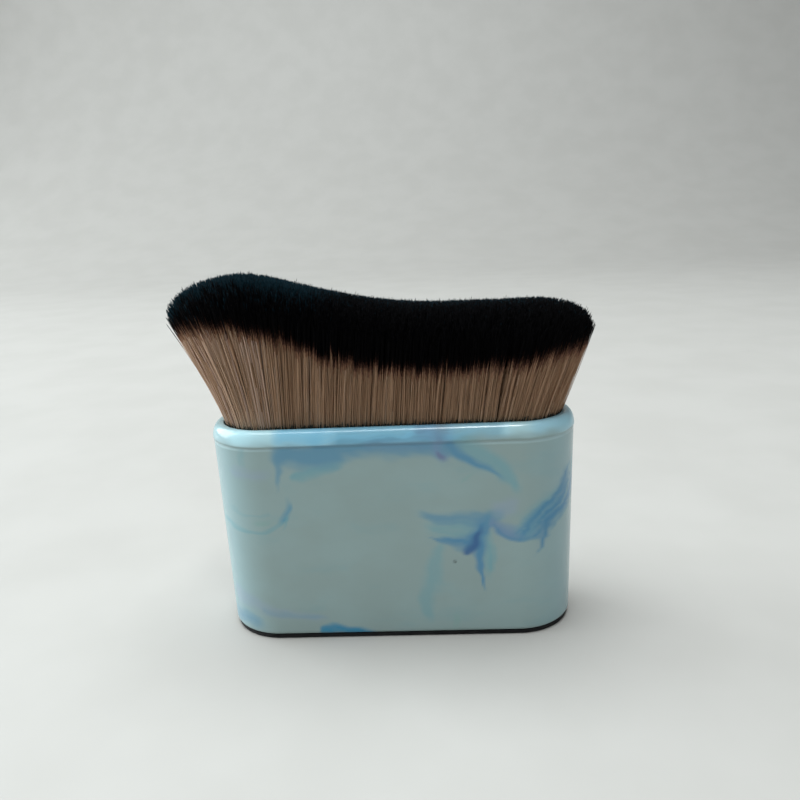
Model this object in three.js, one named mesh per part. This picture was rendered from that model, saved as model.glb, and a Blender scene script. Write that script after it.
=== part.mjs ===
// Soft body brush: a moulded handle with round ends, and a dense wave-cut fibre head.
// Millimetres, +Z up. The brush stands on its foot pad. The origin is the middle of the pad's
// underside, +X runs along the length towards the low end of the wave, and the depth runs along Y.

import * as THREE from "three";
import { mergeVertices } from "three/addons/utils/BufferGeometryUtils.js";

// Handle: a plan with straight sides and half-round ends, growing slightly upwards.
const HANDLE_BOTTOM = 0.9;          // height of the shell's underside above the table
const GROOVE_HEIGHT = 40.7;         // middle of the parting groove
const RIM_HEIGHT = 43.65;           // top of the bead
const SPINE_BOTTOM = 23.9;          // half distance between the end centres at the underside
const SPINE_GROOVE = 24.5;          // the same at the parting groove
const BODY_RADIUS_BOTTOM = 11.3;    // end radius, and half depth, at the underside
const BODY_RADIUS_TOP = 11.5;       // the same just under the groove
const BOTTOM_ROUND = 0.8;           // round on the shell's bottom edge
const GROOVE_DEPTH = 0.25;
const GROOVE_HALF_WIDTH = 0.25;
const BEAD_OVERHANG = 0.15;         // how far the bead stands out past the body
const BEAD_ROUND = 1.6;             // width of the bead's outer round
const MOUTH_RADIUS = 9.1;           // end radius, and half depth, of the opening
const MOUTH_ROUND = 0.4;            // round on the opening's edge

// Inside the handle: a pocket that seats the tuft cup on a ledge, and a hollow under it.
const LEDGE_HEIGHT = 27.5;
const HOLLOW_RADIUS = 8.0;
const FLOOR_TOP = 4.6;

// Foot pad, a thin sheet stuck under the whole of the handle's flat underside.
const PAD_THICKNESS = 0.6;
const PAD_RADIUS = 10.9;

// Tuft cup and adhesive root plug.
const GAP = 0.3;                    // clearance between touching pieces
const CUP_WALL = 0.7;
const CUP_FLOOR = 1.0;
const CUP_LIP = 40.3;
const PLUG_THICKNESS = 3.0;

// Fibre head: its tips fill a rounded plan larger than its roots, under a domed wave.
const ROOT_SPINE = 24.2;            // half distance between the end centres, at the roots
const ROOT_RADIUS = 7.8;
const TIP_SPINE_LOW_X = -27.5;      // end centres of the tips' plan
const TIP_SPINE_HIGH_X = 26.7;
const TIP_RADIUS_LOW_X = 15.4;
const TIP_RADIUS_HIGH_X = 13.0;
const CREST_HIGH = 72.3;            // the wave's lobe at the low-X end
const CREST_LOW = 65.3;             // the wave's level past the lobe
const LOBE_LENGTH = 41.0;           // how far the lobe takes to run out
const LOBE_SKEW = 0.7;              // below 1, the lobe falls early and then trails off
const DOME_DROP_SIDES = 6.5;        // how far the dome falls from crest to outer tips
const DOME_DROP_LOW_X = 8.0;        // the same at the two ends
const DOME_DROP_HIGH_X = 6.3;
const HANK_PARTINGS = [-15.4, -3.8, 9.6, 19.8];   // along the roots
const HANK_END = 31.75;             // where the outer hanks stop
const HANK_STEPS = [6, 8, 6];       // along, across and up each hank

const TURN_STEPS = 48;
const CURVE_STEPS = 3;

const lerp = THREE.MathUtils.lerp;

// Half distance between the end centres of the handle's plan, at a height.
function spineAt(z) {
  const share = (z - HANDLE_BOTTOM) / (GROOVE_HEIGHT - HANDLE_BOTTOM);
  return lerp(SPINE_BOTTOM, SPINE_GROOVE, THREE.MathUtils.clamp(share, 0, 1));
}

// Joins shared corners, so that the mesh is one closed body, and drops triangles with no area.
function closedBody(geometry) {
  geometry.deleteAttribute("normal");
  geometry.deleteAttribute("uv");
  const merged = mergeVertices(geometry, 1e-4);
  const corners = merged.index.array;
  const kept = [];
  for (let i = 0; i < corners.length; i += 3) {
    const [a, b, c] = [corners[i], corners[i + 1], corners[i + 2]];
    if (a !== b && b !== c && c !== a) kept.push(a, b, c);
  }
  merged.setIndex(kept);
  merged.computeVertexNormals();
  return merged;
}

// A turned profile, pulled apart along X so that its plan has straight sides and round ends.
// The profile runs from the bottom of the axis, up the outside and back down to the axis.
function roundEnded(profile) {
  const points = profile.getPoints(CURVE_STEPS);
  const firstAngle = Math.PI / TURN_STEPS;
  const geometry = new THREE.LatheGeometry(points, TURN_STEPS, firstAngle);
  geometry.rotateX(Math.PI / 2);
  const position = geometry.attributes.position;
  for (let i = 0; i < position.count; i++) {
    const column = Math.floor(i / points.length);
    const angle = firstAngle + (column * 2 * Math.PI) / TURN_STEPS;
    const side = Math.sign(Math.sin(angle));
    position.setX(i, position.getX(i) + side * spineAt(position.getZ(i)));
  }
  return closedBody(geometry);
}

// A flat-topped profile: the outline of a plain slab of one radius.
function slabProfile(radius, bottom, top) {
  const profile = new THREE.Path();
  profile.moveTo(0, bottom);
  profile.lineTo(radius, bottom);
  profile.lineTo(radius, top);
  profile.lineTo(0, top);
  return profile;
}

function piece(name, geometry, color, roughness) {
  const material = new THREE.MeshStandardMaterial({ color, roughness, metalness: 0 });
  const mesh = new THREE.Mesh(geometry, material);
  mesh.name = name;
  return mesh;
}

function handleShell() {
  const beadRadius = BODY_RADIUS_TOP + BEAD_OVERHANG;
  const beadCentre = beadRadius - BEAD_ROUND;
  const beadHeight = RIM_HEIGHT - GROOVE_HEIGHT;
  const mouthCentre = MOUTH_RADIUS + MOUTH_ROUND;
  const profile = new THREE.Path();
  profile.moveTo(0, HANDLE_BOTTOM);
  profile.lineTo(BODY_RADIUS_BOTTOM - BOTTOM_ROUND, HANDLE_BOTTOM);
  profile.absarc(BODY_RADIUS_BOTTOM - BOTTOM_ROUND, HANDLE_BOTTOM + BOTTOM_ROUND, BOTTOM_ROUND,
    -Math.PI / 2, 0);
  profile.lineTo(BODY_RADIUS_TOP, GROOVE_HEIGHT - GROOVE_HALF_WIDTH);
  profile.lineTo(BODY_RADIUS_TOP - GROOVE_DEPTH, GROOVE_HEIGHT);
  const beadStart = Math.asin(GROOVE_HALF_WIDTH / beadHeight);
  profile.absellipse(beadCentre, GROOVE_HEIGHT, BEAD_ROUND, beadHeight, beadStart, Math.PI / 2);
  profile.lineTo(mouthCentre, RIM_HEIGHT);
  profile.absarc(mouthCentre, RIM_HEIGHT - MOUTH_ROUND, MOUTH_ROUND, Math.PI / 2, Math.PI);
  profile.lineTo(MOUTH_RADIUS, LEDGE_HEIGHT);
  profile.lineTo(HOLLOW_RADIUS, LEDGE_HEIGHT);
  profile.lineTo(HOLLOW_RADIUS, FLOOR_TOP);
  profile.lineTo(0, FLOOR_TOP);
  return piece("handle_shell", roundEnded(profile), 0x9fc4cb, 0.25);
}

function footPad() {
  return piece("foot_pad", roundEnded(slabProfile(PAD_RADIUS, 0, PAD_THICKNESS)), 0x141414, 0.9);
}

// The cup's floor height and inner radius also place the root plug and the fibres.
const CUP_BOTTOM = LEDGE_HEIGHT + GAP;
const CUP_FLOOR_TOP = CUP_BOTTOM + CUP_FLOOR;
const CUP_RADIUS = MOUTH_RADIUS - GAP;
const PLUG_BOTTOM = CUP_FLOOR_TOP + GAP;
const ROOT_HEIGHT = PLUG_BOTTOM + PLUG_THICKNESS + GAP;

function tuftCup() {
  const profile = new THREE.Path();
  profile.moveTo(0, CUP_BOTTOM);
  profile.lineTo(CUP_RADIUS, CUP_BOTTOM);
  profile.lineTo(CUP_RADIUS, CUP_LIP);
  profile.lineTo(CUP_RADIUS - CUP_WALL, CUP_LIP);
  profile.lineTo(CUP_RADIUS - CUP_WALL, CUP_FLOOR_TOP);
  profile.lineTo(0, CUP_FLOOR_TOP);
  return piece("tuft_cup", roundEnded(profile), 0x101012, 0.6);
}

function rootPlug() {
  const profile = slabProfile(CUP_RADIUS - CUP_WALL - GAP, PLUG_BOTTOM, PLUG_BOTTOM + PLUG_THICKNESS);
  return piece("root_plug", roundEnded(profile), 0xb9a67c, 0.35);
}

// Height of the wave's crest line above a point along the head.
function crestAt(x) {
  const share = THREE.MathUtils.clamp((x - TIP_SPINE_LOW_X) / LOBE_LENGTH, 0, 1);
  const lobe = (1 + Math.cos(Math.PI * Math.pow(share, LOBE_SKEW))) / 2;
  return CREST_LOW + (CREST_HIGH - CREST_LOW) * lobe;
}

// A point of the head: rootX along the roots, across from -1 to 1, and up from 0, at the root, to
// 1, at the tip. The part of a fibre inside the cup is straight, and the rest leans outwards.
function headPoint(rootX, across, up) {
  const alongSpine = THREE.MathUtils.clamp(rootX, -ROOT_SPINE, ROOT_SPINE);
  const pastEnd = (rootX - alongSpine) / ROOT_RADIUS;
  const halfDepth = Math.sqrt(1 - pastEnd * pastEnd);
  const outward = new THREE.Vector2(pastEnd, across * halfDepth);
  const share = (alongSpine / ROOT_SPINE + 1) / 2;
  const tipSpine = lerp(TIP_SPINE_LOW_X, TIP_SPINE_HIGH_X, share);
  const tipRadius = lerp(TIP_RADIUS_LOW_X, TIP_RADIUS_HIGH_X, share);
  const endDrop = lerp(DOME_DROP_LOW_X, DOME_DROP_HIGH_X, share);
  const domeDrop = lerp(DOME_DROP_SIDES, endDrop, Math.abs(outward.x));
  const fall = 1 - Math.sqrt(Math.max(0, 1 - outward.lengthSq()));
  const tipHeight = crestAt(tipSpine) - domeDrop * fall;
  const firstStep = 1 / HANK_STEPS[2];
  const pastLip = Math.max(0, (up - firstStep) / (1 - firstStep));
  const z = up <= firstStep
    ? lerp(ROOT_HEIGHT, CUP_LIP, up / firstStep)
    : lerp(CUP_LIP, tipHeight, pastLip);
  const x = lerp(alongSpine + outward.x * ROOT_RADIUS, tipSpine + outward.x * tipRadius, pastLip);
  const y = outward.y * lerp(ROOT_RADIUS, tipRadius, pastLip);
  return new THREE.Vector3(x, y, z);
}

// One hank of the head, between two places along the roots. Its slices lie closer together
// towards the round ends, as equal steps of an angle.
function bristleHank(name, from, to) {
  const geometry = new THREE.BoxGeometry(1, 1, 1, ...HANK_STEPS);
  const position = geometry.attributes.position;
  const reach = ROOT_SPINE + ROOT_RADIUS;
  for (let i = 0; i < position.count; i++) {
    const angle = lerp(Math.asin(from / reach), Math.asin(to / reach), position.getX(i) + 0.5);
    const point = headPoint(reach * Math.sin(angle), position.getY(i) * 2, position.getZ(i) + 0.5);
    position.setXYZ(i, point.x, point.y, point.z);
  }
  return piece(name, closedBody(geometry), 0x5b4b40, 0.85);
}

function bristleHanks() {
  const cuts = [-HANK_END, ...HANK_PARTINGS, HANK_END];
  const hanks = new THREE.Group();
  for (let i = 0; i + 1 < cuts.length; i++) {
    const from = i === 0 ? cuts[i] : cuts[i] + GAP / 2;
    const to = i + 2 === cuts.length ? cuts[i + 1] : cuts[i + 1] - GAP / 2;
    hanks.add(bristleHank(`bristle_hank_${i + 1}`, from, to));
  }
  return hanks;
}

const brush = new THREE.Group();
brush.add(footPad(), handleShell(), tuftCup(), rootPlug(), bristleHanks());

export default brush;
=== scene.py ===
"""Soft body brush: a marbled plastic handle and a dense two-tone fibre head, in metres.

Lengths in the constants are millimetres, apart from the stage's, which are metres. They are turned
into metres where a mesh is made.
"""

import math

import bpy
import numpy as np
from mathutils import Matrix, Vector


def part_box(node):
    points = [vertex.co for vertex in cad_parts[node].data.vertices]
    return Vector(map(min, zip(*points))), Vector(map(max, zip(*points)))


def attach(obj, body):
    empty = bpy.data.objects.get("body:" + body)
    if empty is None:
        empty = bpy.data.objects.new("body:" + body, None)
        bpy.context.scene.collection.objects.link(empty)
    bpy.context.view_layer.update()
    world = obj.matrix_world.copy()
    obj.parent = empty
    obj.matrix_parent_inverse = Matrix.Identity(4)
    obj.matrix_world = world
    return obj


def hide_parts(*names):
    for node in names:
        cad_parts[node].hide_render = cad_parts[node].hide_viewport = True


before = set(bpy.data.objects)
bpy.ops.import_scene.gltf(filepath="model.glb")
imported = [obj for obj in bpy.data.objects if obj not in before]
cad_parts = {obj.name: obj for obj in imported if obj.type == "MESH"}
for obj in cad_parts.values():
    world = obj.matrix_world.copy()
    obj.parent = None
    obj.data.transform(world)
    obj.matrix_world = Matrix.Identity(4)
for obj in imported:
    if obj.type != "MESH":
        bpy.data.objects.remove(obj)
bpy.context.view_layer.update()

MM = 0.001
BODY = "root"


def node_box(node):
    low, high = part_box(node)
    return np.array(low) / MM, np.array(high) / MM


# ---------------------------------------------------------------- sizes taken from the frame
shell_low, shell_high = node_box("handle_shell")
pad_low, pad_high = node_box("foot_pad")
_, cup_high = node_box("tuft_cup")
_, plug_high = node_box("root_plug")
hank_names = sorted(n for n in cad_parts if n.startswith("bristle_hank_"))
hank_top = max(node_box(n)[1][2] for n in hank_names)

# The CAD leaves this gap between pieces that are glued together.
GLUE_GAP = 0.3
# The fibres are trimmed to a surface whose crest is this far above the CAD's.
CREST_RAISE = 0.35

RIM_HEIGHT = shell_high[2]
HANDLE_BOTTOM = shell_low[2]
CUP_LIP = cup_high[2]
ROOT_HEIGHT = plug_high[2] + GLUE_GAP
CREST_HIGH = hank_top + CREST_RAISE

# ---------------------------------------------------------------- handle
# A radius is that of the round ends, and so half the depth. A spine is half the length of the
# straight sides.
BEAD_RADIUS = shell_high[1]
SPINE_TOP = shell_high[0] - BEAD_RADIUS
GROOVE_HEIGHT = 40.7
GROOVE_DEPTH = 0.15
GROOVE_LIP = 0.45
GROOVE_HALF_WIDTH = 0.25
# The painted highlight on the groove's lower lip lies this far below the groove.
LIP_HIGHLIGHT_DROP = 0.4
BEAD_OVERHANG = 0.15
BEAD_ROUND = 1.6
BODY_RADIUS_TOP = BEAD_RADIUS - BEAD_OVERHANG
BODY_RADIUS_BOTTOM = 11.3
SPINE_BOTTOM = 23.9
BOTTOM_ROUND = 0.8
MOUTH_RADIUS = 9.1
MOUTH_ROUND = 0.4
LEDGE_HEIGHT = 27.5
HOLLOW_RADIUS = 8.0
FLOOR_TOP = 4.6
PAD_BOTTOM = pad_low[2]
PAD_RADIUS = pad_high[1]
PAD_ROUND = 0.15
PAD_GAP = 0.03

# ---------------------------------------------------------------- fibre head
ROOT_SPINE = 24.2
ROOT_RADIUS = 7.8
# How far fibres lean along the head between root and tip, at places along the roots' spine.
LEAN_AT = (-24.2, -20.0, -15.0, -9.0, 0.0, 8.0, 16.0, 24.2)
LEAN = (-0.6, 1.5, 2.8, 2.9, 2.1, 1.9, 2.2, 4.6)
# Low-X and high-X values of the tips' plan, of the dome's drop over it and of the flare's curve.
TIP_END_REACH = (17.8, 10.9)
TIP_HALF_DEPTH = (14.6, 12.6)
DROP_SIDES = (5.4, 6.3)
DROP_ENDS = (8.8, 6.2)
FLARE = (1.25, 1.06)
# How square the dome's shoulders are, at its sides and at its ends.
DOME_POWER = (2.0, 2.3)
# The fibres bulge by this much where they leave the mouth, at this depth below the rim.
RIM_SWELL = 0.7
SWELL_DEPTH = 0.4
# The crest's wave: its low level, then where the fall from the high lobe starts, how long it is and
# how early it is steep.
CREST_LOW = 65.3
LOBE_START = -29.0
LOBE_LENGTH = 41.0
LOBE_SKEW = 0.7
# The hanks' edges along the roots' spine, how far fibres part there and over what distance.
PARTINGS = (-15.4, -3.8, 9.6, 19.8)
PARTING_STRENGTH = (0.25, 0.25, 0.2, 0.5)
PARTING_REACH = 0.9
# Height of the dye's edge on the outside of the head, at places along it.
DYE_X = (-42.0, -37.0, -31.0, -26.0, -20.0, -12.0, -3.0, 6.0, 14.0, 20.0, 24.0, 30.0, 34.0, 38.0)
DYE_Z = (64.9, 65.0, 64.4, 63.8, 62.3, 58.7, 55.7, 54.9, 54.8, 54.9, 55.5, 56.6, 58.2, 60.6)

FIBRE_PITCH = 0.175
FIBRE_RADIUS = 0.062
# Fibres rooted this close to the head's outside can be seen, and have more bands of tone.
OUTER_DEPTH = 1.5
GRID_JITTER = 0.38
SEED = 11
# Fibres gather in clumps, whose centres reach a little outside the roots' plan. A clump shares how
# far its fibres pull together, lean, tuck in and wave. The clumps at the ends are looser.
CLUMP_PITCH = 0.6
CLUMP_MARGIN = 0.6
CLUMP_PULL = (0.1, 0.35)
CLUMP_LEAN = 0.15
CLUMP_TUCK = 0.15
CLUMP_WAVE = 0.13
LOOSE_END = 0.4
LOOSE_END_X = (20, 26)
# Fibres stop short of the trimmed surface by this much on average, apart from a few strays.
TRIM_SHORTFALL = 0.1
TRIM_ERROR = 0.16
STRAY_CHANCE = 0.02
STRAY_LENGTH = (0.1, 0.55)
# The dye's edge is uneven. Away from the head's outside it rises among the outer fibres, which
# show between one another, and falls among the inner ones, of which only the tips show.
DYE_ERROR = 0.5
CLUMP_DYE_ERROR = 0.45
OUTER_DYE_RISE = 3.0
INNER_DYE_RISE = -4.0
SHORTEST_BLACK = 2.6
# A factor on the lengths of the bands in which the dye fades.
DYE_SOFTNESS = (0.6, 1.4)
# The painted shade at the fibres' foot ends this far above the rim, give or take.
SHADE_END = 0.15
SHADE_END_ERROR = 0.35
# Where the brown bands of an outer fibre end, as shares of the length from this far above the rim
# up to the dye's fade, and where the bands of every fibre's tip start, as lengths below its end.
SHANK_START = 2.0
SHANK_SHARES = (0.1, 0.4, 0.7, 1.0)
TIP_BANDS = (1.0, 0.25)
# How far fibres wander at random: at the tip, half way up, and the few that splay outwards.
DRIFT = 0.22
BEND = 0.13
SPLAY_CHANCE = 0.008
SPLAY = (0.2, 0.8)
# How much thicker the fibres are drawn towards their tips, so that the head stays closed where it
# flares: at low X, and beyond the X where the flare is less.
SPREAD = (1.6, 1.25)
SPREAD_X = (-30.0, -12.0)
TIP_THINNING = 0.6
POINTED_TIP = 0.35
THICKNESS_RANGE = (0.8, 1.2)
# A fibre's tone is a number, which these limits sort into umber, deep taupe, taupe and light.
CLUMP_TONE = 0.57
CLUMP_TONE_ERROR = 0.09
FIBRE_TONE_ERROR = 0.09
TONE_LIMITS = (0.2, 0.42, 0.75)
# The low-X end is lighter, between these places along the roots' spine, and rosy beyond another.
LIGHT_END = 0.32
LIGHT_END_X = (-18, -25)
ROSY_X = -22
ROSY_SHARE = 0.6
DEEP_FLECKS = 0.06
TAUPE_FLECKS = 0.12
# Tips are painted blue-green as a sheen of light from above and behind: on the lobe, up to an X
# and behind a Y, and on the far side, behind another. Each limit is followed by its error.
LOBE_SHEEN_X = (-13, 3.0)
LOBE_SHEEN_Y = (-4.0, 1.6)
FAR_SIDE_SHEEN_Y = (1.5, 2.5)


# ---------------------------------------------------------------- camera
SENSOR_WIDTH = 36.0
FOCAL_LENGTH = 34.804
CLIP_START = 10.0
CAMERA_PLACE = (9.76, -148.76, 85.67)
CAMERA_FORWARD = (-0.05149, 0.96512, -0.25669)
CAMERA_RIGHT = (0.99803, 0.04053, -0.04782)


def add_camera():
    data = bpy.data.cameras.new("camera")
    data.sensor_width = SENSOR_WIDTH
    data.lens = FOCAL_LENGTH
    data.clip_start = CLIP_START * MM
    camera = bpy.data.objects.new("camera", data)
    bpy.context.scene.collection.objects.link(camera)
    forward = Vector(CAMERA_FORWARD).normalized()
    right = Vector(CAMERA_RIGHT).normalized()
    up = right.cross(forward)
    turn = Matrix((right, up, -forward)).transposed()
    camera.matrix_world = Matrix.Translation(Vector(CAMERA_PLACE) * MM) @ turn.to_4x4()
    bpy.context.scene.camera = camera


# ---------------------------------------------------------------- small helpers
def lerp(a, b, share):
    return a + (b - a) * share


def smoothstep(low, high, value):
    share = np.clip((value - low) / (high - low), 0, 1)
    return share * share * (3 - 2 * share)


def new_object(name, mesh, materials):
    for material in materials:
        mesh.materials.append(material)
    piece = bpy.data.objects.new(name, mesh)
    bpy.context.scene.collection.objects.link(piece)
    return piece


def mesh_from_arrays(name, points, faces, material_index):
    """A mesh from points in millimetres and faces that all have the same number of corners."""
    corners = faces.shape[1]
    mesh = bpy.data.meshes.new(name)
    mesh.vertices.add(len(points))
    mesh.vertices.foreach_set("co", (points * MM).astype(np.float32).ravel())
    mesh.loops.add(faces.size)
    mesh.loops.foreach_set("vertex_index", faces.astype(np.int32).ravel())
    mesh.polygons.add(len(faces))
    mesh.polygons.foreach_set("loop_start", np.arange(0, faces.size, corners, dtype=np.int32))
    mesh.polygons.foreach_set("material_index", material_index.astype(np.int32))
    mesh.polygons.foreach_set("use_smooth", np.ones(len(faces), dtype=bool))
    mesh.update(calc_edges=True)
    mesh.validate()
    return mesh


# ---------------------------------------------------------------- materials
# Most of a noise texture's values lie between these.
NOISE_RANGE = (0.3, 0.7)


class Nodes:
    """Short calls for adding and joining the nodes of one material."""

    def __init__(self, name):
        self.material = bpy.data.materials.new(name)
        self.material.use_nodes = True
        self.tree = self.material.node_tree
        self.shader = next(n for n in self.tree.nodes if n.type == "BSDF_PRINCIPLED")

    def put(self, value, socket):
        if isinstance(value, bpy.types.NodeSocket):
            self.tree.links.new(value, socket)
        elif socket.type == "RGBA":
            socket.default_value = (*value, 1)
        else:
            socket.default_value = value

    def set(self, **values):
        for name, value in values.items():
            self.put(value, self.shader.inputs[name.replace("_", " ")])

    def metres(self):
        """The place on the piece, in metres."""
        return self.tree.nodes.new("ShaderNodeTexCoord").outputs["Object"]

    def millimetres(self):
        """The place on the piece, in millimetres."""
        return self.times(self.metres(), 1 / MM)

    def scaled(self, vector, scale, turn=(0, 0, 0)):
        node = self.tree.nodes.new("ShaderNodeMapping")
        self.put(vector, node.inputs["Vector"])
        node.inputs["Scale"].default_value = scale
        node.inputs["Rotation"].default_value = turn
        return node.outputs["Vector"]

    def noise(self, vector, scale, detail=2.0, roughness=0.5, distortion=0.0, colour=False):
        node = self.tree.nodes.new("ShaderNodeTexNoise")
        self.put(vector, node.inputs["Vector"])
        node.inputs["Scale"].default_value = scale
        node.inputs["Detail"].default_value = detail
        node.inputs["Roughness"].default_value = roughness
        node.inputs["Distortion"].default_value = distortion
        return node.outputs["Color" if colour else "Fac"]

    def math(self, operation, *values):
        node = self.tree.nodes.new("ShaderNodeMath")
        node.operation = operation
        for value, socket in zip(values, node.inputs):
            self.put(value, socket)
        return node.outputs["Value"]

    def vector(self, operation, a, b):
        node = self.tree.nodes.new("ShaderNodeVectorMath")
        node.operation = operation
        self.put(a, node.inputs[0])
        self.put(b, node.inputs[1])
        return node.outputs["Vector"]

    def times(self, vector, factor):
        node = self.tree.nodes.new("ShaderNodeVectorMath")
        node.operation = "SCALE"
        self.put(vector, node.inputs[0])
        self.put(factor, node.inputs["Scale"])
        return node.outputs["Vector"]

    def ramp(self, value, source, target=(0.0, 1.0), smooth=True):
        """The value carried from one range to another, and held at its ends."""
        node = self.tree.nodes.new("ShaderNodeMapRange")
        node.interpolation_type = "SMOOTHSTEP" if smooth else "LINEAR"
        self.put(value, node.inputs["Value"])
        for name, end in zip(("From Min", "From Max", "To Min", "To Max"), (*source, *target)):
            self.put(end, node.inputs[name])
        return node.outputs["Result"]

    def uneven(self, noise, low, high):
        """Roughness that varies between two values as the noise does."""
        return self.ramp(noise, NOISE_RANGE, (low, high), smooth=False)

    def mix(self, share, a, b, blend="MIX"):
        node = self.tree.nodes.new("ShaderNodeMix")
        node.data_type = "RGBA"
        node.blend_type = blend
        node.clamp_factor = True
        self.put(share, node.inputs["Factor"])
        self.put(a, node.inputs[6])
        self.put(b, node.inputs[7])
        return node.outputs[2]

    def bump(self, height, distance, strength=1.0):
        """A bumped normal. The distance is the depth of the relief, in millimetres."""
        node = self.tree.nodes.new("ShaderNodeBump")
        self.put(height, node.inputs["Height"])
        node.inputs["Distance"].default_value = distance * MM
        node.inputs["Strength"].default_value = strength
        return node.outputs["Normal"]


PALE_GREY = (0.32, 0.435, 0.425)
PALE_BLUE = (0.335, 0.465, 0.46)
END_BLUE = (0.33, 0.545, 0.61)
# Painted highlight along the groove's lower lip.
LIP_HIGHLIGHT = (0.55, 0.76, 0.80)
TEAL = (0.18, 0.42, 0.48)
BLUE = (0.08, 0.28, 0.47)
STEEL = (0.13, 0.33, 0.47)
DEEP_BLUE = (0.025, 0.13, 0.34)
VIOLET = (0.185, 0.32, 0.49)
DUSK = (0.17, 0.21, 0.36)
CYAN = (0.03, 0.28, 0.48)
LILAC = (0.33, 0.43, 0.56)
GREEN = (0.24, 0.46, 0.42)
STREAK = (0.05, 0.25, 0.45)
SPECK = (0.03, 0.05, 0.05)
# Bead tints: blue, partly the plastic's and partly painted skylight sheen; pale, a painted
# highlight.
BEAD_BLUE_AND_SHEEN = (0.27, 0.65, 0.88)
BEAD_PALE_HIGHLIGHT = (0.58, 0.90, 0.98)
# A face's smears may run this far along it and round its ends.
FACE_REACH = 56.0
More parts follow.
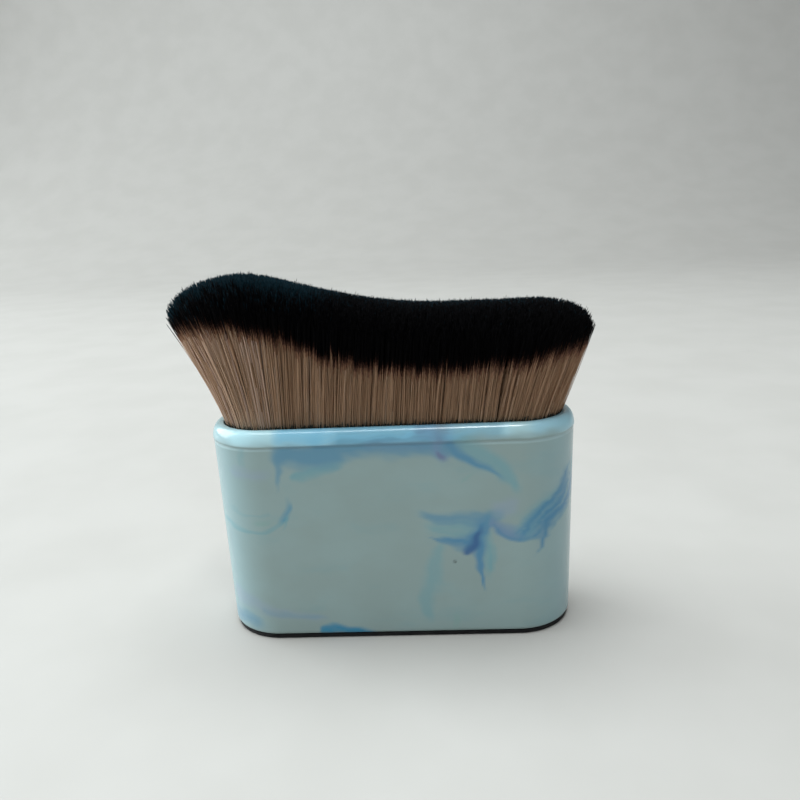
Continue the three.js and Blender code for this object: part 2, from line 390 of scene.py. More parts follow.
# Smears of pigment on the handle's front and back: the tint, how strong it is, how far it frays
# into streaks, and the places that it runs through, as (x, z, half width). x is across the face,
# as it is seen, and it goes on round the ends.
FRONT_SMEARS = (
    (TEAL, 0.75, 0.1, ((-19.0, 34.4, 0.8), (-16.4, 35.4, 1.6), (-12.6, 36.6, 1.6),
                       (-8.6, 37.8, 1.2))),
    (STEEL, 1.0, 0.0, ((-19.6, 38.9, 3.2), (-16.0, 38.9, 3.2), (-12.4, 38.9, 3.2),
                       (-8.0, 40.4, 2.6))),
    (STEEL, 0.75, 0.1, ((-20.6, 38.6, 1.5), (-21.3, 36.0, 0.9), (-21.7, 33.4, 0.6),
                        (-21.9, 31.6, 0.4))),
    (STEEL, 1.0, 0.1, ((-13.0, 40.6, 2.8), (0.0, 40.4, 2.8), (13.0, 40.5, 2.6))),
    (VIOLET, 0.3, 0.2, ((-4.0, 40.4, 1.6), (8.6, 40.4, 1.6))),
    (VIOLET, 0.85, 0.0, ((9.6, 41.0, 2.2), (9.6, 39.2, 1.8), (9.6, 36.4, 1.3))),
    (DUSK, 0.9, 0.0, ((9.2, 39.1, 0.4), (9.5, 38.3, 0.9), (9.6, 37.6, 0.8))),
    (TEAL, 0.7, 0.1, ((12.6, 41.0, 2.4), (15.4, 38.8, 3.0), (19.0, 36.4, 2.6), (22.6, 33.0, 1.6),
                      (23.8, 29.6, 1.0))),
    (STEEL, 1.0, 0.1, ((11.2, 40.8, 2.2), (12.4, 38.8, 1.9), (14.6, 36.9, 1.2), (18.0, 35.2, 0.7),
                       (21.6, 33.1, 0.5))),
    (BLUE, 0.5, 0.1, ((11.4, 40.6, 1.2), (12.6, 38.2, 1.0), (15.4, 36.3, 0.6), (18.4, 35.0, 0.4))),
    (TEAL, 0.55, 0.1, ((-21.4, 26.0, 0.8), (-23.6, 24.3, 0.7), (-27.6, 23.1, 0.6),
                       (-32.0, 23.9, 0.7),
                       (-35.0, 25.4, 0.8))),
    (TEAL, 0.3, 0.2, ((-24.0, 27.6, 0.5), (-28.0, 26.9, 0.4), (-33.0, 27.4, 0.6))),
    (CYAN, 0.6, 0.3, ((-21.7, 26.0, 1.1), (-21.2, 27.0, 1.1), (-20.5, 28.6, 0.8),
                      (-19.9, 31.0, 0.4))),
    (TEAL, 0.6, 0.0, ((-21.1, 26.4, 0.5), (-21.4, 23.6, 0.25))),
    (GREEN, 0.6, 0.4, ((-27.0, 25.4, 0.8), (-23.4, 26.0, 0.8))),
    (LILAC, 0.45, 0.3, ((-30.0, 35.8, 1.6), (-22.6, 35.0, 1.5))),
    (TEAL, 0.35, 0.3, ((-28.6, 40.0, 0.8), (-28.6, 36.6, 0.8))),
    (TEAL, 0.6, 0.3, ((15.4, 22.4, 2.4), (10.0, 23.0, 2.2), (5.4, 24.6, 1.2))),
    (TEAL, 0.8, 0.3, ((17.2, 21.6, 2.2), (18.0, 17.0, 1.8), (18.2, 12.6, 0.9))),
    (STEEL, 0.85, 0.2, ((17.4, 25.0, 2.0), (13.4, 24.6, 1.9), (8.6, 25.6, 1.5), (4.4, 27.2, 0.8))),
    (BLUE, 0.95, 0.3, ((14.6, 20.4, 2.2), (11.6, 20.6, 1.2), (8.4, 21.2, 0.6), (6.0, 21.8, 0.3))),
    (BLUE, 1.0, 0.2, ((15.2, 20.2, 2.0), (16.8, 23.0, 2.1), (19.4, 26.2, 1.5))),
    (STEEL, 0.7, 0.2, ((18.4, 25.4, 2.0), (21.4, 26.8, 1.2))),
    (BLUE, 1.0, 0.1, ((15.9, 20.6, 1.8), (16.3, 16.6, 1.2), (16.9, 12.8, 0.6), (17.4, 9.8, 0.25))),
    (DEEP_BLUE, 0.9, 0.1, ((14.2, 18.2, 0.9), (14.9, 19.3, 1.3), (15.9, 21.4, 1.0),
                           (17.0, 24.0, 0.6))),
    (LILAC, 0.5, 0.2, ((20.0, 27.4, 2.0), (24.0, 27.6, 2.4))),
    (BLUE, 0.8, 0.2, ((21.0, 22.8, 1.0), (23.4, 21.6, 1.2), (28.4, 21.0, 1.5))),
    (VIOLET, 0.85, 0.1, ((19.2, 24.6, 1.1), (22.4, 22.8, 1.9), (28.4, 21.4, 1.6))),
    (STREAK, 0.45, 0.1, ((19.6, 24.2, 0.4), (21.8, 21.9, 0.6), (25.0, 20.5, 0.6),
                         (29.0, 20.2, 0.5))),
    (TEAL, 0.85, 0.2, ((26.0, 22.4, 2.6), (29.4, 25.4, 3.6), (35.4, 31.0, 3.6), (37.0, 35.0, 2.6))),
    (BLUE, 0.85, 0.5, ((35.2, 29.4, 2.2), (31.4, 24.6, 1.8), (29.0, 21.2, 1.4), (27.2, 18.4, 0.7))),
    (BLUE, 0.8, 0.5, ((25.0, 21.8, 1.7), (28.0, 24.0, 2.6), (31.6, 27.8, 2.2), (36.0, 33.4, 1.8))),
    (STREAK, 0.8, 0.2, ((35.2, 30.0, 0.6), (32.8, 26.6, 0.7), (29.2, 21.6, 0.6),
                        (26.8, 17.0, 0.3))),
    (STREAK, 0.7, 0.2, ((26.8, 20.6, 0.3), (29.4, 24.0, 0.5), (33.0, 29.2, 0.6),
                        (35.6, 33.0, 0.3))),
    (STREAK, 0.6, 0.2, ((25.4, 22.2, 0.4), (28.6, 25.6, 0.6), (32.4, 30.6, 0.5),
                        (35.0, 34.2, 0.3))),
    (LILAC, 0.45, 0.2, ((-33.0, 8.4, 2.6), (-27.0, 6.8, 1.8), (-21.0, 5.6, 1.3),
                        (-14.0, 3.9, 1.1))),
    (STEEL, 0.3, 0.2, ((-27.0, 6.4, 0.8), (-21.6, 5.5, 0.9), (-14.0, 4.0, 0.7))),
    (CYAN, 1.0, 0.2, ((-15.4, 1.5, 0.9), (-12.4, 2.3, 1.1), (-8.6, 1.5, 1.1), (-4.0, 1.6, 0.7))),
    (BLUE, 0.5, 0.2, ((-34.0, 4.0, 2.2), (-27.0, 3.0, 1.4))),
    (TEAL, 0.5, 0.1, ((8.9, 19.4, 1.5), (7.2, 14.0, 2.2), (6.4, 9.0, 1.9), (6.0, 5.0, 1.2),
                      (5.9, 2.6, 0.8))),
    (GREEN, 0.35, 0.2, ((11.4, 4.8, 1.0), (11.6, 1.4, 0.8))),
    (SPECK, 0.8, 0.0, ((11.9, 16.6, 0.34), (12.1, 16.5, 0.34))),
    (GREEN, 0.35, 0.3, ((14.0, 33.4, 0.6), (15.8, 34.8, 0.5))),
    # On the bead: a painted highlight and skylight sheen over the plastic's blue.
    (BEAD_PALE_HIGHLIGHT, 0.35, 0.0, ((-36.0, 43.0, 3.4), (-26.0, 43.0, 3.2))),
    (BEAD_PALE_HIGHLIGHT, 0.9, 0.0, ((-28.5, 43.0, 3.4), (-21.0, 43.0, 3.2), (-9.0, 43.0, 2.8))),
    (BEAD_BLUE_AND_SHEEN, 0.85, 0.1, ((-20.0, 43.0, 2.6), (-11.0, 43.0, 3.2))),
    (BEAD_BLUE_AND_SHEEN, 0.8, 0.2, ((-13.0, 43.0, 2.8), (10.0, 43.0, 2.8))),
    (VIOLET, 0.7, 0.3, ((5.4, 42.8, 1.8), (13.0, 42.8, 2.6))),
    (BEAD_BLUE_AND_SHEEN, 0.5, 0.2, ((12.0, 43.0, 2.4), (24.0, 43.0, 2.2))),
    (BEAD_PALE_HIGHLIGHT, 0.6, 0.0, ((23.0, 43.2, 2.2), (36.0, 43.2, 2.6), (48.0, 43.2, 2.6))),
    (BEAD_BLUE_AND_SHEEN, 0.35, 0.0, ((28.0, 43.2, 2.4), (36.0, 43.2, 2.6), (48.0, 43.2, 2.6))),
)
BACK_SMEARS = (
    (STEEL, 0.9, 0.1, ((24.0, 40.4, 2.4), (14.0, 39.6, 3.2), (2.0, 40.8, 2.2))),
    (BLUE, 0.85, 0.3, ((17.0, 38.8, 1.8), (13.4, 35.4, 1.3), (11.8, 31.6, 0.5))),
    (TEAL, 0.7, 0.3, ((23.0, 36.4, 2.0), (15.0, 34.4, 2.6), (7.0, 33.4, 1.2))),
    (TEAL, 0.7, 0.3, ((-38.0, 13.0, 1.8), (-28.0, 17.0, 2.6), (-20.0, 16.4, 2.0),
                      (-11.0, 19.6, 0.8))),
    (BLUE, 0.95, 0.4, ((-36.0, 12.0, 1.2), (-27.0, 15.6, 1.8), (-19.0, 15.0, 1.1),
                       (-11.6, 17.0, 0.3))),
    (BLUE, 0.9, 0.4, ((-24.0, 15.0, 1.6), (-22.2, 10.4, 1.0), (-23.0, 5.4, 0.3))),
    (DEEP_BLUE, 0.8, 0.2, ((-26.0, 14.2, 0.6), (-23.4, 15.4, 1.1), (-20.6, 15.0, 0.6))),
    (VIOLET, 0.8, 0.1, ((-18.6, 17.8, 0.9), (-12.4, 21.4, 1.7), (-5.0, 22.8, 0.8))),
    (LILAC, 0.5, 0.2, ((-12.0, 24.0, 1.6), (-2.0, 26.4, 2.0))),
    (BLUE, 0.8, 0.2, ((-5.6, 41.0, 2.0), (-8.6, 37.8, 1.6), (-14.0, 35.0, 0.6))),
    (CYAN, 0.9, 0.2, ((8.0, 2.2, 1.2), (14.0, 3.2, 1.9), (20.6, 2.0, 0.9))),
    (BLUE, 0.75, 0.5, ((19.0, 6.2, 0.5), (26.0, 9.4, 1.5), (34.0, 10.6, 1.7), (42.0, 8.6, 0.8))),
    (STREAK, 0.6, 0.2, ((21.0, 7.2, 0.3), (28.0, 10.4, 0.6), (37.0, 10.4, 0.4))),
    (TEAL, 0.6, 0.2, ((37.0, 21.0, 1.2), (31.6, 26.0, 1.7), (30.0, 32.0, 0.8))),
    (GREEN, 0.4, 0.3, ((1.0, 12.0, 0.6), (6.0, 14.2, 0.7))),
    (TEAL, 0.4, 0.1, ((-3.0, 7.0, 1.8), (0.0, 12.0, 2.6), (-1.0, 17.0, 1.4))),
    # On the bead: a painted highlight and skylight sheen over the plastic's blue.
    (BEAD_PALE_HIGHLIGHT, 0.6, 0.1, ((-36.0, 43.0, 2.6), (-18.0, 43.0, 2.4))),
    (BEAD_BLUE_AND_SHEEN, 0.7, 0.2, ((-16.0, 43.0, 2.2), (4.0, 43.0, 2.8), (18.0, 43.0, 2.4))),
    (BEAD_PALE_HIGHLIGHT, 0.6, 0.1, ((20.0, 43.2, 2.2), (36.0, 43.2, 2.4))),
)


# How pigment drifts off its path, coarsely and finely: the size of the waves and how far it goes.
COARSE_DRIFT = (9.0, 0.35)
FINE_DRIFT = (2.6, 0.12)
WAVE_COUNT = 8
PATH_STEPS = 5
# Cover fades between these shares of the half width.
SMEAR_FADE = (0.2, 1.25)
# No place is taken to be further from a smear than this many half widths.
FAR_OFF = 9.0
# A smear's streaks are drawn out along it. They move its edge in and thin its cover.
STREAK_SIZE = 3.0
STREAK_STRETCH = (3.0, 0.25)
STREAK_EDGE = 0.35
STREAK_COVER = 0.6


def waves(at, seed, size):
    """Smooth noise of about unit spread: a sum of sine waves in random directions."""
    rng = np.random.default_rng(seed)
    total = np.zeros(len(at))
    for _ in range(WAVE_COUNT):
        direction = rng.normal(0, 1, at.shape[1])
        direction *= 2 * math.pi / (np.linalg.norm(direction) * size * rng.uniform(0.6, 1.6))
        total += np.sin(at @ direction + rng.uniform(0, 2 * math.pi))
    return total * math.sqrt(2 / WAVE_COUNT)


def smooth_path(places):
    """Catmull-Rom curve through the places, as a list of points."""
    places = np.array(places, float)
    ends = np.concatenate((2 * places[:1] - places[1:2], places, 2 * places[-1:] - places[-2:-1]))
    path = []
    for a, b, c, d in zip(ends, ends[1:], ends[2:], ends[3:]):
        for t in np.linspace(0, 1, PATH_STEPS, endpoint=False):
            path.append(0.5 * (2 * b + (c - a) * t + (2 * a - 5 * b + 4 * c - d) * t**2
                               + (3 * b - a - 3 * c + d) * t**3))
    return path + [places[-1]]


def smear_mask(at, places, fray, seed):
    """How much pigment of one smear lies at each point, from 0 to 1."""
    best, side, run = np.full(len(at), FAR_OFF), np.zeros(len(at)), np.zeros(len(at))
    path, length = smooth_path(places), 0.0
    for a, b in zip(path, path[1:]):
        step, off = b[:2] - a[:2], at - a[:2]
        size = np.linalg.norm(step)
        share = np.clip(off @ step / size**2, 0, 1)
        gap = np.linalg.norm(off - share[:, None] * step, axis=1)
        ratio = gap / lerp(a[2], b[2], share)
        nearer = ratio < best
        best = np.where(nearer, ratio, best)
        side = np.where(nearer, (off[:, 1] * step[0] - off[:, 0] * step[1]) / size, side)
        run = np.where(nearer, length + share * size, run)
        length += size
    streaks = waves(np.stack((side, run), 1) * STREAK_STRETCH, seed, STREAK_SIZE)
    frayed = fray * (1 - smoothstep(-0.6, 0.9, streaks))
    best += STREAK_EDGE * frayed
    # The far end is drawn out thin.
    drawn_out = smoothstep(-0.5, min(2.6, 0.5 * length), length - run)
    return drawn_out * (1 - smoothstep(*SMEAR_FADE, best)) * (1 - STREAK_COVER * frayed)


def along_faces(x, y):
    """How far round the handle a place lies from the middle of the front, and of the back."""
    past = np.maximum(np.abs(x) - SPINE_TOP, 0)
    turned = np.where(past > 0, np.arctan2(past, -y), np.where(y > 0, math.pi, 0.0))
    half_way_round = 2 * SPINE_TOP + math.pi * BODY_RADIUS_TOP
    straight = np.minimum(np.abs(x), SPINE_TOP)
    run = np.where((past == 0) & (y > 0), half_way_round - straight,
                   straight + turned * BODY_RADIUS_TOP)
    run = np.where((past == 0) & (y <= 0), straight, run) * np.sign(x)
    return run, run - np.where(run > 0, half_way_round, -half_way_round)


def seen_place(place):
    """A smear's place with its x, which is across the face, turned into the run along it."""
    x, z, width = place
    past = max(abs(x) - SPINE_TOP, 0) / BODY_RADIUS_TOP
    if 0 < past < 1:
        x = math.copysign(SPINE_TOP + BODY_RADIUS_TOP * math.asin(past), x)
    return x, z, width


def pigment(points):
    """Pigment at points in millimetres: its colour times its cover, and its cover."""
    paint = np.zeros((len(points), 4))
    faces = along_faces(points[:, 0], points[:, 1])
    for side, (run, smears) in enumerate(zip(faces, (FRONT_SMEARS, BACK_SMEARS))):
        near = np.flatnonzero(np.abs(run) < FACE_REACH)
        at = np.stack((run[near], points[near, 2]), 1)
        seed = 100 * side
        drift = np.zeros(at.shape)
        for first, (size, far) in ((3, COARSE_DRIFT), (5, FINE_DRIFT)):
            pair = [waves(at, seed + first + k, size) for k in (0, 1)]
            drift += np.stack(pair, 1) * far
        for i, (tint, strength, fray, places) in enumerate(smears):
            places = [seen_place(place) for place in places]
            cover = smear_mask(at + drift, places, fray, seed + 20 + i) * strength
            # The bead's painted highlight and sheen stay above the groove.
            if tint in (BEAD_PALE_HIGHLIGHT, BEAD_BLUE_AND_SHEEN):
                cover *= at[:, 1] > GROOVE_HEIGHT
            paint[near] *= (1 - cover)[:, None]
            paint[near] += cover[:, None] * np.array((*tint, 1.0))
    return paint


def marbled_plastic():
    """Light blue-green plastic with pigment drawn out through it in soft smears."""
    n = Nodes("marbled_plastic")
    at = n.millimetres()
    middle = (0.5, 0.5, 0.5)
    warp = n.vector("SUBTRACT", n.noise(at, scale=0.16, colour=True), middle)
    fine_warp = n.vector("SUBTRACT", n.noise(at, scale=0.7, colour=True), middle)
    moved = n.vector("ADD", at, n.times(warp, 1.4))
    moved = n.vector("ADD", moved, n.times(fine_warp, 0.5))

    cloud = n.noise(n.scaled(moved, (0.7, 0.7, 1.0)), scale=0.10, detail=3.0)
    colour = n.mix(n.ramp(cloud, (0.36, 0.64)), PALE_GREY, PALE_BLUE)
    haze = n.noise(n.scaled(moved, (0.5, 0.5, 1.2), turn=(0, 0.5, 0)), scale=0.17, detail=3.0)
    colour = n.mix(n.ramp(haze, (0.52, 0.78), (0.0, 0.2)), colour, TEAL)

    # The ends are bluer than the flat faces, and the groove's lower lip has a painted highlight.
    separate = n.tree.nodes.new("ShaderNodeSeparateXYZ")
    n.put(at, separate.inputs[0])
    reach = n.math("ABSOLUTE", separate.outputs["X"])
    end_share = n.ramp(reach, (SPINE_BOTTOM, SPINE_BOTTOM + BODY_RADIUS_TOP), (0.0, 0.5))
    colour = n.mix(end_share, colour, END_BLUE)
    above_lip = n.math("SUBTRACT", separate.outputs["Z"], GROOVE_HEIGHT - LIP_HIGHLIGHT_DROP)
    lip_highlight = n.ramp(n.math("ABSOLUTE", above_lip), (0.45, 0.1), (0.0, 0.45))
    colour = n.mix(lip_highlight, colour, LIP_HIGHLIGHT)

    # The smears are stored on the mesh as colour times cover.
    paint = n.tree.nodes.new("ShaderNodeAttribute")
    paint.attribute_name = "pigment"
    colour = n.mix(paint.outputs["Alpha"], colour, (0, 0, 0))
    colour = n.mix(1.0, colour, paint.outputs["Color"], "ADD")

    n.set(Base_Color=colour)
    n.set(Roughness=n.uneven(n.noise(at, scale=0.4, detail=3.0), 0.2, 0.27))
    n.set(IOR=1.5, Coat_Weight=0.2, Coat_Roughness=0.09)
    n.set(Normal=n.bump(n.noise(at, scale=0.25, detail=1.0), 0.03))
    return n.material


def fibre_material(name, base):
    """One tone of fibre, with fine ridges along it and a gloss that comes and goes. Dyed fibre is
    duller than the rest."""
    dyed = "black" in name or "red_brown" in name
    roughness, specular = ((0.55, 0.75), 0.04) if dyed else ((0.5, 0.7), 0.16)
    n = Nodes(name)
    at = n.millimetres()
    n.set(Base_Color=base, Specular_IOR_Level=specular)
    grain = n.noise(n.scaled(at, (1.0, 1.0, 0.12)), scale=7.0, detail=3.0, roughness=0.6)
    n.set(Roughness=n.uneven(grain, *roughness))
    ridges = n.noise(n.scaled(at, (1.0, 1.0, 0.1)), scale=30.0, detail=1.0)
    n.set(Normal=n.bump(ridges, 0.01, strength=0.5))
    return n.material


def foam_material():
    n = Nodes("pad_foam")
    at = n.millimetres()
    cells = n.tree.nodes.new("ShaderNodeTexVoronoi")
    n.put(at, cells.inputs["Vector"])
    cells.inputs["Scale"].default_value = 3.5
    tone = n.ramp(n.noise(at, scale=0.6, detail=4.0), NOISE_RANGE)
    n.set(Base_Color=n.mix(tone, (0.008, 0.008, 0.009), (0.02, 0.02, 0.021)), Roughness=0.9)
    n.set(Normal=n.bump(cells.outputs["Distance"], 0.06, strength=0.7))
    return n.material


def cup_material():
    n = Nodes("cup_plastic")
    at = n.millimetres()
    tone = n.ramp(n.noise(at, scale=0.4, detail=3.0), NOISE_RANGE)
    n.set(Base_Color=n.mix(tone, (0.010, 0.010, 0.012), (0.022, 0.022, 0.025)))
    n.set(Roughness=n.uneven(n.noise(at, scale=1.5, detail=3.0), 0.4, 0.55))
    n.set(Normal=n.bump(n.noise(at, scale=6.0), 0.02))
    return n.material


def adhesive_material():
    n = Nodes("set_adhesive")
    at = n.millimetres()
    tone = n.ramp(n.noise(at, scale=0.25, detail=4.0, distortion=0.6), NOISE_RANGE)
    n.set(Base_Color=n.mix(tone, (0.32, 0.24, 0.11), (0.52, 0.44, 0.25)))
    n.set(Roughness=n.uneven(n.noise(at, scale=0.8, detail=3.0), 0.2, 0.45))
    n.set(Subsurface_Weight=0.2, Subsurface_Scale=1.0 * MM)
    n.set(Normal=n.bump(n.noise(at, scale=0.5, detail=3.0), 0.15))
    return n.material


# ---------------------------------------------------------------- handle and pad
TURN_STEPS = 96
STRAIGHT_STEPS = 140
WALL_STEPS = 115
ARC_STEPS = 10
BEAD_ARC_STEPS = 20
PAD_ARC_STEPS = 4


def arc(centre_x, centre_z, radius_x, radius_z, start, end, steps=ARC_STEPS):
    angles = np.linspace(start, end, steps + 1)
    return [(centre_x + radius_x * math.cos(a), centre_z + radius_z * math.sin(a)) for a in angles]


def spine_at(z):
    share = np.clip((z - HANDLE_BOTTOM) / (GROOVE_HEIGHT - HANDLE_BOTTOM), 0, 1)
    return lerp(SPINE_BOTTOM, SPINE_TOP, share)


def round_ended(name, profile, materials, straight_steps=1):
    """Sweeps a profile of (radius, height) round a plan with straight sides and round ends."""
    profile = np.array(profile)
    half = np.linspace(-math.pi / 2, math.pi / 2, TURN_STEPS // 2 + 1)
    straight = np.linspace(1, -1, straight_steps + 1)[1:-1]
    angles = np.concatenate((half, np.full(len(straight), math.pi / 2)))
    angles = np.concatenate((angles, angles + math.pi))
    side = np.concatenate((np.ones(len(half)), straight))
    side = np.concatenate((side, -side))
    radius, height = profile[1:-1, 0], profile[1:-1, 1]
    x = side[:, None] * spine_at(height)[None, :] + np.cos(angles)[:, None] * radius[None, :]
    y = np.sin(angles)[:, None] * radius[None, :]
    z = np.broadcast_to(height, x.shape)
    ring = np.stack((x, y, z), -1).reshape(-1, 3)
    columns, rows = x.shape
    column, row = np.meshgrid(np.arange(columns), np.arange(rows - 1), indexing="ij")
    near, far = column * rows + row, (column + 1) % columns * rows + row
    quads = np.stack((near, far, far + 1, near + 1), -1).reshape(-1, 4).tolist()
    # Flat ends: one face across the first ring and one across the last.
    first = [c * rows for c in range(columns)]
    last = [c * rows + rows - 1 for c in range(columns)]
    mesh = bpy.data.meshes.new(name)
    mesh.from_pydata((ring * MM).tolist(), [], quads + [first[::-1], last])
    mesh.shade_smooth()
    return new_object(name, mesh, materials), ring


def build_handle(material):
    bead_centre = BEAD_RADIUS - BEAD_ROUND
    bead_height = RIM_HEIGHT - GROOVE_HEIGHT
    mouth_centre = MOUTH_RADIUS + MOUTH_ROUND
    foot = BODY_RADIUS_BOTTOM - BOTTOM_ROUND
    bead_start = math.asin(GROOVE_HALF_WIDTH / bead_height)
    profile = [(0, HANDLE_BOTTOM)]
    profile += arc(foot, HANDLE_BOTTOM + BOTTOM_ROUND, BOTTOM_ROUND, BOTTOM_ROUND, -math.pi / 2, 0)
    wall_from, wall_to = profile[-1], (BODY_RADIUS_TOP, GROOVE_HEIGHT - GROOVE_LIP)
    for share in np.linspace(0, 1, WALL_STEPS + 1)[1:]:
        profile.append(tuple(lerp(a, b, share) for a, b in zip(wall_from, wall_to)))
    profile.append((BODY_RADIUS_TOP - GROOVE_DEPTH, GROOVE_HEIGHT))
    profile += arc(bead_centre, GROOVE_HEIGHT, BEAD_ROUND, bead_height,
                   bead_start, math.pi / 2, BEAD_ARC_STEPS)
    profile += arc(mouth_centre, RIM_HEIGHT - MOUTH_ROUND, MOUTH_ROUND, MOUTH_ROUND,
                   math.pi / 2, math.pi)
    profile += [(MOUTH_RADIUS, LEDGE_HEIGHT), (HOLLOW_RADIUS, LEDGE_HEIGHT)]
    profile += [(HOLLOW_RADIUS, FLOOR_TOP), (0, FLOOR_TOP)]
    piece, points = round_ended("handle_moulding", profile, [material], STRAIGHT_STEPS)
    paint = piece.data.attributes.new("pigment", "FLOAT_COLOR", "POINT")
    paint.data.foreach_set("color", pigment(points).astype(np.float32).ravel())
    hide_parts("handle_shell")
    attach(piece, BODY)


def build_pad(material):
    top = HANDLE_BOTTOM - PAD_GAP
    edge = PAD_RADIUS - PAD_ROUND
    profile = [(0, PAD_BOTTOM)]
    profile += arc(edge, PAD_BOTTOM + PAD_ROUND, PAD_ROUND, PAD_ROUND,
                   -math.pi / 2, 0, PAD_ARC_STEPS)
    profile += arc(edge, top - PAD_ROUND, PAD_ROUND, PAD_ROUND, 0, math.pi / 2, PAD_ARC_STEPS)
    profile += [(0, top)]
    piece, _ = round_ended("foot_pad_foam", profile, [material])
    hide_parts("foot_pad")
    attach(piece, BODY)


# ---------------------------------------------------------------- fibre head
def crest_at(x):
    share = np.clip((x - LOBE_START) / LOBE_LENGTH, 0, 1)
    return lerp(CREST_LOW, CREST_HIGH, (1 + np.cos(math.pi * share**LOBE_SKEW)) / 2)


def head_place(root, height):
    """Where fibres rooted at root, (n, 2), are at a height, (n,), and how high they are trimmed."""
    x, y = root[:, 0], root[:, 1]
    along = np.clip(x, -ROOT_SPINE, ROOT_SPINE)
    out_x, out_y = (x - along) / ROOT_RADIUS, y / ROOT_RADIUS
    share = (along / ROOT_SPINE + 1) / 2
    tip_spine = along + np.interp(along, LEAN_AT, LEAN)
    edge = np.clip(np.hypot(out_x, out_y), 0, 1)
    end_share = np.abs(out_x)
    drop = lerp(lerp(*DROP_SIDES, share), lerp(*DROP_ENDS, share), end_share)
    power = lerp(*DOME_POWER, end_share)
    tip_x = tip_spine + out_x * lerp(*TIP_END_REACH, share)
    tip_height = crest_at(tip_x) - drop * (1 - (1 - edge**power) ** (1 / power))
    up = np.maximum(0, (height - CUP_LIP) / (tip_height - CUP_LIP))
    lean = up ** lerp(*FLARE, share)
    swell = RIM_SWELL * smoothstep(CUP_LIP, RIM_HEIGHT - SWELL_DEPTH, height)
    swell *= np.maximum(0, 1 - up)
    px = lerp(x, tip_x, lean) + out_x * swell
    py = lerp(y, out_y * lerp(*TIP_HALF_DEPTH, share), lean) + out_y * swell
    return px, py, tip_height


def jittered_roots(rng, pitch, reach=ROOT_RADIUS):
    """Points of a jittered triangular grid in the roots' plan, or in one with a larger radius."""
    row_pitch = pitch * math.sqrt(3) / 2
    rows = np.arange(-reach, reach, row_pitch)
    columns = np.arange(-ROOT_SPINE - reach, ROOT_SPINE + reach, pitch)
    gx, gy = np.meshgrid(columns, rows)
    gx = gx + (np.arange(len(rows)) % 2)[:, None] * pitch / 2
    points = np.stack((gx.ravel(), gy.ravel()), -1)
    points += rng.uniform(-GRID_JITTER, GRID_JITTER, points.shape) * pitch
    beyond = np.maximum(np.abs(points[:, 0]) - ROOT_SPINE, 0)
    return points[np.hypot(beyond, points[:, 1]) < reach]


def nearest(points, centres, cell):
    """The index of the centre nearest to each point, looked up through a grid of cells."""
    low = centres.min(0) - cell

    def cell_of(places):
        return np.floor((places - low) / cell).astype(int)

    lookup = {}
    for i, (a, b) in enumerate(cell_of(centres)):
        lookup.setdefault((a, b), []).append(i)
    found = np.zeros(len(points), int)
    cells = cell_of(points)
    order = np.lexsort((cells[:, 1], cells[:, 0]))
    starts = np.flatnonzero(np.any(np.diff(cells[order], axis=0), axis=1)) + 1
    around = [(da, db) for da in (-1, 0, 1) for db in (-1, 0, 1)]
    for group in np.split(order, starts):
        a, b = cells[group[0]]
        near = [i for da, db in around for i in lookup.get((a + da, b + db), ())]
        gap = ((points[group][:, None] - centres[near][None]) ** 2).sum(-1)
        found[group] = np.array(near)[gap.argmin(1)]
    return found


TONES = (
    ("fibre_taupe_light", (0.65, 0.445, 0.31)),
    ("fibre_taupe", (0.515, 0.32, 0.20)),
    ("fibre_taupe_deep", (0.40, 0.235, 0.14)),
    ("fibre_umber", (0.18, 0.095, 0.055)),
    ("fibre_rose", (0.71, 0.52, 0.42)),
    # Painted shade at the fibres' foot, where they leave the rim.
    ("fibre_root_painted_shade", (0.11, 0.11, 0.09)),
    ("fibre_dye_edge", (0.34, 0.18, 0.11)),
    ("fibre_dye_brown", (0.10, 0.042, 0.027)),
    ("fibre_red_brown", (0.018, 0.008, 0.006)),
    ("fibre_black", (0.0020, 0.0018, 0.0023)),
    # Painted blue-green sheen of light on the tips.
    ("fibre_black_tip_painted_sheen", (0.0042, 0.018, 0.026)),
)
(LIGHT, TAUPE, DEEP, UMBER, ROSE, ROOT_SHADE, DYE_EDGE, DYE_BROWN, RED_BROWN, BLACK,
 TIP_SHEEN) = range(len(TONES))
# The tones of a fibre's bands from the dye's edge up to the two that make its tip.
OUTER_DYED = (DYE_EDGE, DYE_BROWN, RED_BROWN, BLACK, BLACK)
INNER_DYED = (RED_BROWN, BLACK)


def outward_and_edge(root):
    """Which way is out of the head at each root, and how near its outside it is, from 0 to 1."""
    beyond = root[:, 0] - np.clip(root[:, 0], -ROOT_SPINE, ROOT_SPINE)
    outward = np.stack((beyond, root[:, 1]), 1) / ROOT_RADIUS
    return outward, np.clip(np.hypot(*outward.T), 0, 1)


